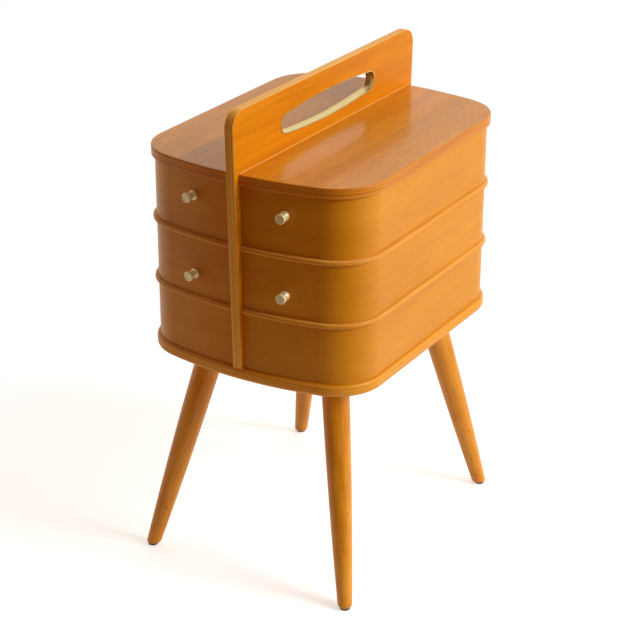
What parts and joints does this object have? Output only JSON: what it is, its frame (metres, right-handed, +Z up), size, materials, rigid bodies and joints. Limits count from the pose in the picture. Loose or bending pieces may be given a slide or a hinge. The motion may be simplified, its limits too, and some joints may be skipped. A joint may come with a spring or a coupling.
{
  "type": "sewing box",
  "caption": "Wooden sewing box on splayed turned legs, with a handle board, fixed half lids over half tiers, and half trays that swing out round rods at the back.",
  "frame": {"origin": "on the floor, under the middle of the box", "axes": "+Z up, -Y is the front with the knobs, +X to the right across the handle board"},
  "size_m": [0.311, 0.4214, 0.6163],
  "materials": {
    "base_wood": "lacquered amber wood, rounded edge",
    "board_veneer": "glossy amber veneer, grain along the board",
    "lid_veneer": "glossy amber veneer, grain along the lids",
    "bent_veneer": "satin amber veneer bent round the corners, fine level grain",
    "floor_ply": "lacquered plywood with a rounded edge",
    "inner_beech": "plain satin beech",
    "leg_beech": "stained and lacquered turned beech, small pores and scuffs",
    "gold_aluminium": "pale gold anodised",
    "knob_brass": "pale satin brass",
    "brass": "plain turned brass",
    "steel": "bright drawn steel",
    "glide_plastic": "dark moulded plastic"
  },
  "bodies": {
    "box": {"base_board": "base_wood", "handle_board": "board_veneer", "grip_lining": "gold_aluminium", "board_screws": "steel", "left_lid": "lid_veneer", "right_lid": "lid_veneer", "bottom_left_wall": "bent_veneer", "bottom_right_wall": "bent_veneer", "bottom_left_post": "inner_beech", "bottom_right_post": "inner_beech", "left_pivot_rod": "steel", "right_pivot_rod": "steel", "pivot_washers": "brass", "front_left_leg": "leg_beech", "front_right_leg": "leg_beech", "back_right_leg": "leg_beech", "back_left_leg": "leg_beech", "leg_bolts": "steel", "leg_inserts": "brass", "foot_glides": "glide_plastic"},
    "top_left_tray": {"top_left_floor": "floor_ply", "top_left_wall": "bent_veneer", "top_left_side": "inner_beech", "top_left_pivot_block": "inner_beech", "top_left_pivot_bushes": "brass", "top_left_knob": "knob_brass", "top_left_knob_screw": "steel"},
    "top_right_tray": {"top_right_floor": "floor_ply", "top_right_wall": "bent_veneer", "top_right_side": "inner_beech", "top_right_pivot_block": "inner_beech", "top_right_pivot_bushes": "brass", "top_right_knob": "knob_brass", "top_right_knob_screw": "steel"},
    "middle_left_tray": {"middle_left_floor": "floor_ply", "middle_left_wall": "bent_veneer", "middle_left_side": "inner_beech", "middle_left_pivot_block": "inner_beech", "middle_left_pivot_bushes": "brass", "middle_left_knob": "knob_brass", "middle_left_knob_screw": "steel"},
    "middle_right_tray": {"middle_right_floor": "floor_ply", "middle_right_wall": "bent_veneer", "middle_right_side": "inner_beech", "middle_right_pivot_block": "inner_beech", "middle_right_pivot_bushes": "brass", "middle_right_knob": "knob_brass", "middle_right_knob_screw": "steel"}
  },
  "joints": [
    {"name": "top_left_swing", "type": "hinge", "parent": "box", "child": "top_left_tray", "pos_m": [-0.0224, 0.18345, 0.447], "axis": [0, 0, -1], "range_deg": [0, 90]},
    {"name": "top_right_swing", "type": "hinge", "parent": "box", "child": "top_right_tray", "pos_m": [0.0224, 0.18345, 0.447], "axis": [0, 0, 1], "range_deg": [0, 90]},
    {"name": "middle_left_swing", "type": "hinge", "parent": "box", "child": "middle_left_tray", "pos_m": [-0.0224, 0.18345, 0.368], "axis": [0, 0, -1], "range_deg": [0, 90]},
    {"name": "middle_right_swing", "type": "hinge", "parent": "box", "child": "middle_right_tray", "pos_m": [0.0224, 0.18345, 0.368], "axis": [0, 0, 1], "range_deg": [0, 90]}
  ]
}
